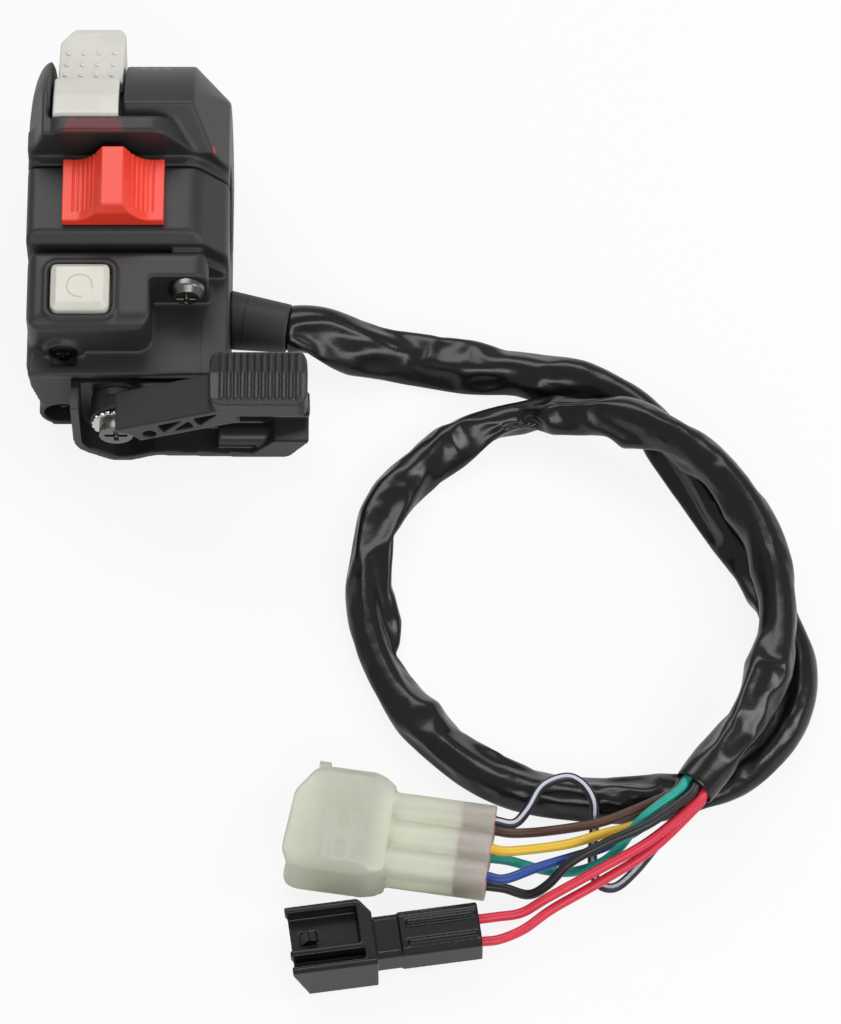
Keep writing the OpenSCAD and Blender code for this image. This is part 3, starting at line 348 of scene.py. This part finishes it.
def noise(place, per_metre, detail=3.0, rough=0.55):
    return place.node("ShaderNodeTexNoise", inputs={"Vector": place, "Scale": per_metre, "Detail": detail,
                                                    "Roughness": rough})


def bumped(shader, height, strength, depth_mm):
    height.node("ShaderNodeBump", inputs={"Strength": strength, "Distance": depth_mm * MM,
                                          "Height": height}).feed(shader, "Normal")


vinyl_finish, shader, place = new_finish("glossy_vinyl", {"IOR": 1.52, "Specular IOR Level": 0.38})
smudge = noise(place, 60, 5)
creases = noise(place, 420, 3)
pores = noise(place, 2600, 2)
smudge.blend((0.004, 0.004, 0.0043, 1), (0.009, 0.009, 0.0095, 1)).feed(shader, "Base Color")
(0.13 + smudge * 0.14 + pores * 0.06).feed(shader, "Roughness")
bumped(shader, creases * 0.8 + pores * 0.2, 0.22, 0.35)
sleeve.data.materials.append(vinyl_finish)
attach(sleeve, "housing")
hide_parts("harness_sleeve")
sleeve_path = sleeve_points.mean(1)
sleeve_path * MM


# The eight wires come out of the sleeve's cut end and run to the backs of the two plugs. Each is stranded
# copper in coloured insulation, and one has a pale stripe along it.
WIRE_R = 1.05
WIRE_STEP = 0.8
WIRE_SIDES = 14
INTO_SLEEVE = 0.55 * np.array([5.5, 8.2, 0])
SIX_AT, SIX_TURN, SIX_PITCH, SIX_ROW = np.array([79, -149.3, -12]), math.radians(-8.5), 6.5, 2.5
TWO_AT, TWO_TURN, TWO_PITCH = np.array([76.5, -166.6, -13.2]), math.radians(8), 2.6


def six_pin(column, row, back):
    """A point behind the six-way plug: back along its axis, on one of its three columns and two rows."""
    return SIX_AT + [back * math.cos(SIX_TURN) - column * SIX_PITCH * math.sin(SIX_TURN),
                     back * math.sin(SIX_TURN) + column * SIX_PITCH * math.cos(SIX_TURN), row * SIX_ROW]


def two_pin(column, back):
    return TWO_AT + [back * math.cos(TWO_TURN) - column * TWO_PITCH * math.sin(TWO_TURN),
                     back * math.sin(TWO_TURN) + column * TWO_PITCH * math.cos(TWO_TURN), 0]


WIRE_ROUTES = {
    "brown": [(119.5, -136.1, -4.6), (117.9, -138.4, -4.6), (109.5, -141, -8), (101.5, -142.9, -10.6),
              (91, -143.2, -14), six_pin(1, -1, 4), six_pin(1, -1, 0)],
    "green": [(120.4, -136.7, -2.3), (118.8, -139, -2.3), (111, -144.6, -4.6), (106.5, -149, -9),
              (102.5, -151, -13), (96.5, -152, -15.5), (90.5, -151.4, -16), six_pin(0, -1, 4),
              six_pin(0, -1, 0)],
    "yellow": [(121.9, -137.7, -4.6), (120.3, -140, -4.6), (110, -144.3, -8), (103, -146, -9),
               (94.5, -148.4, -9.5), six_pin(0, 1, 4), six_pin(0, 1, 0)],
    "black": [(122.4, -138.1, -1.8), (120.9, -140.4, -1.8), (112.5, -146.5, -2.6), (104, -149.6, -5),
              (96, -153, -8), (91, -156.6, -12), (87, -157.8, -14.4), six_pin(-1, -1, 4), six_pin(-1, -1, 0)],
    "blue": [(120.4, -136.7, -6.9), (118.8, -139, -6.9), (111, -143.8, -11), (103.5, -147.6, -12.2),
             (97, -150, -11.8), (89, -153.3, -10.2), six_pin(-1, 1, 4), six_pin(-1, 1, 0)],
    "stripe": [(122.4, -138.1, -7.4), (120.9, -140.4, -7.4), (115.5, -145.5, -12.5), (110, -150.8, -17.4),
               (105.5, -154.3, -18.6), (101.8, -153.2, -18.6), (100.8, -148.5, -18.2), (101, -143.8, -16.5),
               (101.2, -140.9, -13), (100.8, -138, -9.2), (98.5, -134.8, -8), (95, -133.4, -7.8),
               (90, -135.5, -8), (86.8, -140.6, -8.8), six_pin(1, 1, 4), six_pin(1, 1, 0)],
    "red_a": [(124.1, -139.1, -3.3), (122.5, -141.4, -3.3), (112.5, -149.5, -5), (101.5, -155, -8),
              (91, -160, -11), (85.5, -162.5, -13.2), two_pin(1, 4), two_pin(1, 0)],
    "red_b": [(124.1, -139.1, -5.9), (122.5, -141.4, -5.9), (113, -150.4, -7.6), (102.3, -156.5, -10.4),
              (92, -161.9, -12.6), (86, -166, -13.8), two_pin(-1, 4), two_pin(-1, 0)],
}
WIRE_COLOURS = {"brown": (0.105, 0.05, 0.033), "green": (0.012, 0.36, 0.3), "yellow": (0.78, 0.5, 0.03),
                "black": (0.012, 0.012, 0.014), "blue": (0.012, 0.06, 0.29), "stripe": (0.012, 0.013, 0.026),
                "red_a": (0.66, 0.026, 0.062), "red_b": (0.66, 0.026, 0.062)}
WIRE_SLOTS = {"stripe": "striped_wire", "red_a": "red_wire", "red_b": "red_wire"}


def insulation(name, colour, striped):
    material, shader, place = new_finish(name + "_insulation", {"IOR": 1.5})
    cloud = noise(place, 260, 3)
    skin = noise(place, 2400, 2)
    tint = cloud.blend((*[c * 0.86 for c in colour], 1), (*[min(1, c * 1.1) for c in colour], 1))
    if striped:
        around = place.node("ShaderNodeUVMap", {"uv_map": "around"})
        around = place.node("ShaderNodeSeparateXYZ", inputs={0: around})
        line = (around > 0.2) * (around < 0.31)
        tint = line.blend(tint, (0.52, 0.55, 0.62, 1))
    tint.feed(shader, "Base Color")
    (0.3 + cloud * 0.1 + skin * 0.06).feed(shader, "Roughness")
    bumped(shader, skin, 0.1, 0.08)
    return material


wire_pieces = {}
for colour_name, route in WIRE_ROUTES.items():
    route = [np.array(point, float) for point in route]
    line = smooth_line([route[0] + INTO_SLEEVE] + route, WIRE_STEP)
    _, side, up = ring_axes(line)
    turn = np.arange(WIRE_SIDES) * 2 * math.pi / WIRE_SIDES
    rings = line[:, None, :] + WIRE_R * (np.cos(turn)[None, :, None] * side[:, None, :]
                                         + np.sin(turn)[None, :, None] * up[:, None, :])
    wire = mesh_object("insulated_wire_" + colour_name, rings.reshape(-1, 3) * MM,
                       capped_tube_faces(len(line), WIRE_SIDES))
    around = wire.data.uv_layers.new(name="around")
    for face in wire.data.polygons:
        for corner in face.loop_indices:
            ring, k = divmod(wire.data.loops[corner].vertex_index, WIRE_SIDES)
            first = face.vertices[0] % WIRE_SIDES
            around.data[corner].uv = ((k + WIRE_SIDES if k < first else k) / WIRE_SIDES, ring / len(line))
    pick(wire)
    bpy.ops.object.shade_smooth_by_angle(angle=math.radians(50))
    wire.data.materials.append(insulation(colour_name, WIRE_COLOURS[colour_name], colour_name == "stripe"))
    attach(wire, "housing")
    WIRE_SLOTS.get(colour_name, colour_name + "_wire")
    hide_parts("wire_" + colour_name)
    wire_pieces[colour_name] = (wire, line)


# The upper housing is one black moulding that closes over the bar: a rounded flange on the left, a slot for
# the lighting lever, and a visor lip in front whose face carries a worn dab of dark red paint over the red
# switch. A V gap in the dab, left black, is painted shadow of the lever's pip, and two thin dark strips in it
# are painted shade of recesses. Three dashes are pressed into its crown, and a red dot marks its side.
def bare_copy(name, node):
    """A new piece from a node's own mesh, with its points merged, active and selected by itself."""
    piece = bpy.data.objects.new(name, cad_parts[node].data.copy())
    bpy.context.scene.collection.objects.link(piece)
    piece.data.materials.clear()
    pick(piece)
    bpy.ops.object.mode_set(mode="EDIT")
    bpy.ops.mesh.select_all(action="SELECT")
    bpy.ops.mesh.remove_doubles(threshold=1e-6)
    bpy.ops.object.mode_set(mode="OBJECT")
    return piece


def soften(piece, cell_mm, rounds):
    """Rounds the edges of the active piece as a mould does: it is cut in even cells, smoothed and thinned."""
    skin = piece.modifiers.new("skin", "REMESH")
    skin.mode = "VOXEL"
    skin.voxel_size = cell_mm * MM
    wear = piece.modifiers.new("wear", "SMOOTH")
    wear.factor = 0.5
    wear.iterations = rounds
    thin = piece.modifiers.new("thin", "DECIMATE")
    thin.ratio = 0.3
    for modifier in (skin, wear, thin):
        bpy.ops.object.modifier_apply(modifier=modifier.name)
    bpy.ops.object.shade_smooth_by_angle(angle=math.radians(50))
    flats = piece.modifiers.new("flats", "WEIGHTED_NORMAL")
    flats.keep_sharp = True
    flats.weight = 90
    bpy.ops.object.modifier_apply(modifier=flats.name)


def dress(piece, node, body, material):
    piece.data.materials.clear()
    piece.data.materials.append(material)
    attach(piece, body)
    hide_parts(node)


def moulded(name, colour, rough, grain, constants=None, marks=()):
    """Moulded plastic: a fine grain from the tool, faint clouds of colour and a little uneven gloss.

    Each mark is a function of the place that gives its mask, with its colour and how deep it is cut."""
    material, shader, place = new_finish(name, {"IOR": 1.5, **(constants or {})})
    cloud = noise(place, 110, 4)
    fine = noise(place, 3200, 2)
    tint = cloud.blend((*[c * 0.84 for c in colour], 1), (*[min(1, c * 1.16) for c in colour], 1))
    relief = fine * grain + cloud * (0.4 * grain)
    for mask_of, mark_colour, depth in marks:
        mask = mask_of(place)
        tint = mask.blend(tint, (*mark_colour, 1))
        relief = relief - mask * depth
    tint.feed(shader, "Base Color")
    (rough - 0.08 + cloud * 0.1 + fine * 0.06).feed(shader, "Roughness")
    bumped(shader, relief, 1.0, 0.06)
    return material


def ragged(place, reach_mm):
    """A small shift that makes the edge of a painted mark uneven."""
    return (noise(place, 900, 4) - 0.5) * (2 * reach_mm * MM)


def visor_paint_and_painted_shade(place):
    x, y, z = place.axes()
    rim = ragged(place, 0.35)
    lean = (y - 2.7 * MM) * 0.3
    dab = (x + rim - lean > -13.8 * MM) * (x + rim + lean < -0.5 * MM) * (z > 29.5 * MM) * y.within(2.9, 7.2)
    # A V left black in the dab under the lever's pip is painted shadow, and two thin strips left black are
    # painted shade of recesses
    pip_shadow_gap = place.math("ABSOLUTE", x + 10.4 * MM, 0.0) < (y - 5.4 * MM) * 0.7
    recess_shade_strips = (x.within(-4.1, -3.7) + x.within(-2.3, -2)) * (y > 4.8 * MM)
    thinned = 0.45 + 0.9 * noise(place, 500, 4)
    return dab * (1 - pip_shadow_gap) * (1 - recess_shade_strips) * thinned


DOT_AT = Vector((18.8, 3.9, 22.3)) * MM
DOT_R = 0.8 * MM


def side_dot(place):
    apart = place.node("ShaderNodeVectorMath", {"operation": "DISTANCE"}, {0: place, 1: DOT_AT}, 1)
    return apart + ragged(place, 0.2) < DOT_R


DASHES_FROM, DASHES_TO, DASH_PITCH, DASH_SHARE = 2.4, 9.9, 2.5, 0.66


def crown_dashes(place):
    x, y, z = place.axes()
    along = place.math("FRACT", (x - DASHES_FROM * MM) * (1 / (DASH_PITCH * MM)), 0.0)
    return x.within(DASHES_FROM, DASHES_TO) * (along < DASH_SHARE) * (y > 24 * MM) * z.within(19.6, 22.6)


BLACK = (0.019, 0.0192, 0.02)
# This material's red visor dab has gaps left black as painted shadow and painted shade
upper_black_with_painted_shade = moulded("grained_black_with_paint_and_painted_shade", BLACK, 0.46, 0.35, marks=[
    (visor_paint_and_painted_shade, (0.115, 0.011, 0.012), 0), (side_dot, (0.3, 0.012, 0.012), 0),
    (crown_dashes, (0.12, 0.045, 0.025), 0.4)])
upper_shell = bare_copy("upper_shell", "upper_housing")
soften(upper_shell, 0.36, 6)
dress(upper_shell, "upper_housing", "housing", upper_black_with_painted_shade)

# The lower housing is the other half of the moulding: a flat panel under the red switch, a neck, and a
# starter block over a wide lower body with a skirt. Two screws pull it up against the bar, and a web in the
# neck covers the shank of the front one.
def skirt_line(place):
    x, y, z = place.axes()
    return x.within(15.9, 16.2) * (y < -30.5 * MM)


lower_black = moulded("grained_black_with_parting_line", BLACK, 0.46, 0.35,
                      marks=[(skirt_line, (0.004, 0.004, 0.004), 6)])
WEB_AT = Vector((13, -17.9, 15)) * MM
WEB_SIZE = (6.4, 4.8, 6.5)
bpy.ops.object.select_all(action="DESELECT")
bpy.ops.mesh.primitive_cube_add(size=MM, location=(0, 0, 0))
neck_web = bpy.context.object
neck_web.data.transform(Matrix.Translation(WEB_AT) @ Matrix.Diagonal((*WEB_SIZE, 1)))
lower_shell = bare_copy("lower_shell", "lower_housing")
neck_web.select_set(True)
bpy.ops.object.join()
soften(lower_shell, 0.38, 6)
dress(lower_shell, "lower_housing", "housing", lower_black)

# The clamp screws are pan-head machine screws in dark chrome, driven up from below into the upper housing.
# The small screw that holds the starter's contact base is blackened.
def metal(name, colour, rough, brushed):
    material, shader, place = new_finish(name, {"Metallic": 1.0})
    cloud = noise(place, 500, 4)
    scratch = noise(place, 5200, 3, 0.7)
    cloud.blend((*[c * 0.8 for c in colour], 1), (*colour, 1)).feed(shader, "Base Color")
    (rough - 0.06 + cloud * 0.12 + scratch * 0.08).feed(shader, "Roughness")
    bumped(shader, scratch, brushed, 0.03)
    return material


dark_chrome = metal("dark_chrome", (0.2, 0.195, 0.185), 0.26, 0.2)
black_oxide = metal("black_oxide", (0.035, 0.034, 0.033), 0.4, 0.3)
for name, node, finish in (("clamp_screws", "housing_screws", dark_chrome),
                           ("contact_base_screw", "start_base_screw", black_oxide)):
    screw = bare_copy(name, node)
    soften(screw, 0.17, 3)
    dress(screw, node, "housing", finish)

# The lighting lever is white plastic that rides over the crown in the slot. A thumb ridge crosses it, set
# low on the crown, and three rows of pips on the plate above it give the thumb a grip.
FAINT_GLOW = {"Subsurface Weight": 0.08, "Subsurface Scale": 0.001, "Subsurface Radius": (1.0, 0.9, 0.7)}
white_plastic = moulded("white_plastic", (0.66, 0.65, 0.6), 0.36, 0.12, FAINT_GLOW)
RIDGE_FOOT, RIDGE_TOP, RIDGE_SET = math.radians(13.6), math.radians(45.1), math.radians(39.5)
RIDGE_MARGIN = 0.02
CROWN_REACH = 30 * MM
light_lever = bare_copy("light_lever", "lighting_knob")
for point in light_lever.data.vertices:
    reach, angle = math.hypot(point.co.y, point.co.z), math.atan2(point.co.y, point.co.z)
    if reach > CROWN_REACH and RIDGE_FOOT < angle < RIDGE_TOP + RIDGE_MARGIN:
        angle = RIDGE_FOOT + (angle - RIDGE_FOOT) * (RIDGE_SET - RIDGE_FOOT) / (RIDGE_TOP - RIDGE_FOOT)
        point.co.y, point.co.z = reach * math.sin(angle), reach * math.cos(angle)
soften(light_lever, 0.25, 10)
PIP_ROWS = ((0.087, -14.2), (0.306, -13.95), (0.546, -13.75))
PIP_PITCH = 3.4
PIP_R = 0.48 * MM
PIP_FLATNESS = 0.6
face_foot = Vector((0, 20.39, 24.74))
face_rise = Vector((0, 15.38, -5.32))
face_out = Vector((0, 0.327, 0.945))
bpy.ops.object.select_all(action="DESELECT")
bpy.ops.mesh.primitive_uv_sphere_add(segments=14, ring_count=8, radius=PIP_R)
first_pip = bpy.context.object
bpy.ops.object.mode_set(mode="EDIT")
bpy.ops.transform.resize(value=(1, 1, PIP_FLATNESS))
bpy.ops.object.mode_set(mode="OBJECT")
bpy.ops.object.shade_smooth()
first_pip.data.transform(Vector((0, 0, 1)).rotation_difference(face_out).to_matrix().to_4x4())
for rise, first_x in PIP_ROWS:
    for column in range(4):
        pip = bpy.data.objects.new("pip", first_pip.data.copy())
        spot = face_foot + face_rise * rise + Vector((first_x + PIP_PITCH * column, 0, 0))
        pip.data.transform(Matrix.Translation(spot * MM))
        bpy.context.scene.collection.objects.link(pip)
        pip.select_set(True)
bpy.data.objects.remove(first_pip)
light_lever.select_set(True)
bpy.context.view_layer.objects.active = light_lever
bpy.ops.object.join()
dress(light_lever, "lighting_knob", "lighting_lever", white_plastic)

# The engine stop slider is bright red plastic, with a tall ridge in the middle and fine grooves on both
# flanks. It slides along the bar on a carrier inside the housing.
red_plastic = moulded("red_plastic", (0.84, 0.05, 0.025), 0.33, 0.12)
stop_slider_knob = bare_copy("stop_slider_knob", "stop_knob")
soften(stop_slider_knob, 0.17, 3)
dress(stop_slider_knob, "stop_knob", "stop_slider", red_plastic)

# The starter button is a square ivory cap with bevelled edges that sinks into its bezel. An open ring is
# pressed into its face.
def ring_arc(place):
    x, y, z = place.axes()
    x, y = x + 9.9 * MM, y + 30.2 * MM
    reach = place.math("SQRT", x * x + y * y, 0.0)
    opening = (x > 0.6 * MM) * (y < -0.8 * MM)
    return reach.within(2.6, 2.9) * (1 - opening) * (z > 21.9 * MM)


cap_plastic = moulded("ivory_plastic", (0.66, 0.645, 0.57), 0.36, 0.12, FAINT_GLOW,
                      marks=[(ring_arc, (0.47, 0.46, 0.4), 2.5)])
push_cap = bare_copy("push_cap", "start_button")
soften(push_cap, 0.2, 8)
dress(push_cap, "start_button", "starter", cap_plastic)

# The choke's bracket is a painted steel pressing under the housing, and its thumb lever a black moulding
# that swings on a dark shoulder screw over a bright toothed washer.
bracket_black = moulded("painted_black_steel", (0.014, 0.014, 0.0145), 0.36, 0.2)
cable_bracket = bare_copy("cable_bracket", "choke_bracket")
soften(cable_bracket, 0.3, 4)
dress(cable_bracket, "choke_bracket", "housing", bracket_black)
thumb_lever = bare_copy("thumb_lever", "choke_lever")
soften(thumb_lever, 0.22, 4)
lever_black = moulded("grained_black_plastic", BLACK, 0.42, 0.3)
dress(thumb_lever, "choke_lever", "choke", lever_black)
bright_steel = metal("bright_steel", (0.72, 0.72, 0.7), 0.2, 0.2)
for name, node, finish in (("shoulder_screw", "choke_pivot_screw", dark_chrome),
                           ("toothed_washer", "choke_lock_washer", bright_steel)):
    pivot_piece = bare_copy(name, node)
    soften(pivot_piece, 0.12, 2)
    dress(pivot_piece, node, "housing", finish)

# The grommet is a tapered rubber boot that seals the harness where it leaves the lower housing. A fine
# moulding line runs round it near the housing.
def boot_line(place):
    x, y, z = place.axes()
    along = (x - 22 * MM) * 0.986 - (y + 21 * MM) * 0.165
    return along.within(3.2, 3.5)


rubber_finish = moulded("matt_rubber", (0.026, 0.026, 0.027), 0.55, 0.45,
                        marks=[(boot_line, (0.006, 0.006, 0.006), 4)])
boot = bare_copy("boot", "harness_grommet")
soften(boot, 0.3, 4)
dress(boot, "harness_grommet", "housing", rubber_finish)

# The six-way plug is a milky, slightly green nylon shell with six round tails, and a soft pink seal in each
# closes round its wire.
milky_nylon = moulded("milky_nylon", (0.87, 0.91, 0.7), 0.42, 0.1, {
    "Subsurface Weight": 0.8, "Subsurface Scale": 0.014, "Subsurface Radius": (1.0, 1.0, 0.8),
    "Transmission Weight": 0.5})
six_shell = bare_copy("six_shell", "six_way_plug")
soften(six_shell, 0.3, 8)
dress(six_shell, "six_way_plug", "housing", milky_nylon)
pink_rubber = moulded("pink_seal_rubber", (0.72, 0.3, 0.28), 0.5, 0.2)
six_seals = bare_copy("six_seals", "six_way_seals")
soften(six_seals, 0.2, 2)
dress(six_seals, "six_way_seals", "housing", pink_rubber)

# The two-way plug is black nylon with a latch and guide rails. An orange rubber seal round its two red wires
# closes it at the back.
black_nylon = moulded("black_nylon", (0.007, 0.007, 0.0072), 0.28, 0.15, {"Specular IOR Level": 0.35})
two_shell = bare_copy("two_shell", "two_way_plug")
soften(two_shell, 0.22, 4)
dress(two_shell, "two_way_plug", "housing", black_nylon)
orange_rubber = moulded("orange_seal_rubber", (0.62, 0.09, 0.03), 0.5, 0.2)
two_seal = bare_copy("two_seal", "two_way_seal")
soften(two_seal, 0.2, 2)
dress(two_seal, "two_way_seal", "housing", orange_rubber)

# Inside the housing are dark nylon carriers, brown boards, brass contacts, steel balls and springs, and the
# leads. Their solids stay, and only get a finish.
inner_nylon = moulded("dark_nylon", (0.03, 0.03, 0.031), 0.45, 0.2)
board_brown = moulded("pressed_board", (0.16, 0.085, 0.045), 0.55, 0.3)
brass = metal("contact_brass", (0.72, 0.5, 0.22), 0.28, 0.3)
washer_nylon = moulded("washer_nylon", (0.03, 0.03, 0.031), 0.42, 0.1)
tin = metal("tinned_brass", (0.66, 0.63, 0.56), 0.26, 0.2)
INNER_FINISHES = {
    "lighting_rotor": inner_nylon, "stop_carrier": inner_nylon, "start_plunger": inner_nylon,
    "lighting_contact_base": board_brown, "stop_contact_base": board_brown, "start_contact_base": board_brown,
    "lighting_moving_contact": brass, "lighting_fixed_contacts": brass, "stop_moving_contact": brass,
    "stop_fixed_contacts": brass, "start_moving_contact": brass, "start_fixed_contacts": brass,
    "lighting_detent_ball": bright_steel, "lighting_detent_spring": bright_steel,
    "stop_detent_ball": bright_steel, "stop_detent_spring": bright_steel, "start_return_spring": bright_steel,
    "choke_friction_washer": washer_nylon, "six_way_terminals": tin, "two_way_terminals": tin}
for node, colour_name in (("lighting_lead", "brown"), ("stop_lead", "black"), ("start_lead", "yellow")):
    INNER_FINISHES[node] = wire_pieces[colour_name][0].data.materials[0]
for node, material in INNER_FINISHES.items():
    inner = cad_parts[node]
    for held_slot in inner.material_slots:
        held_slot.material = material
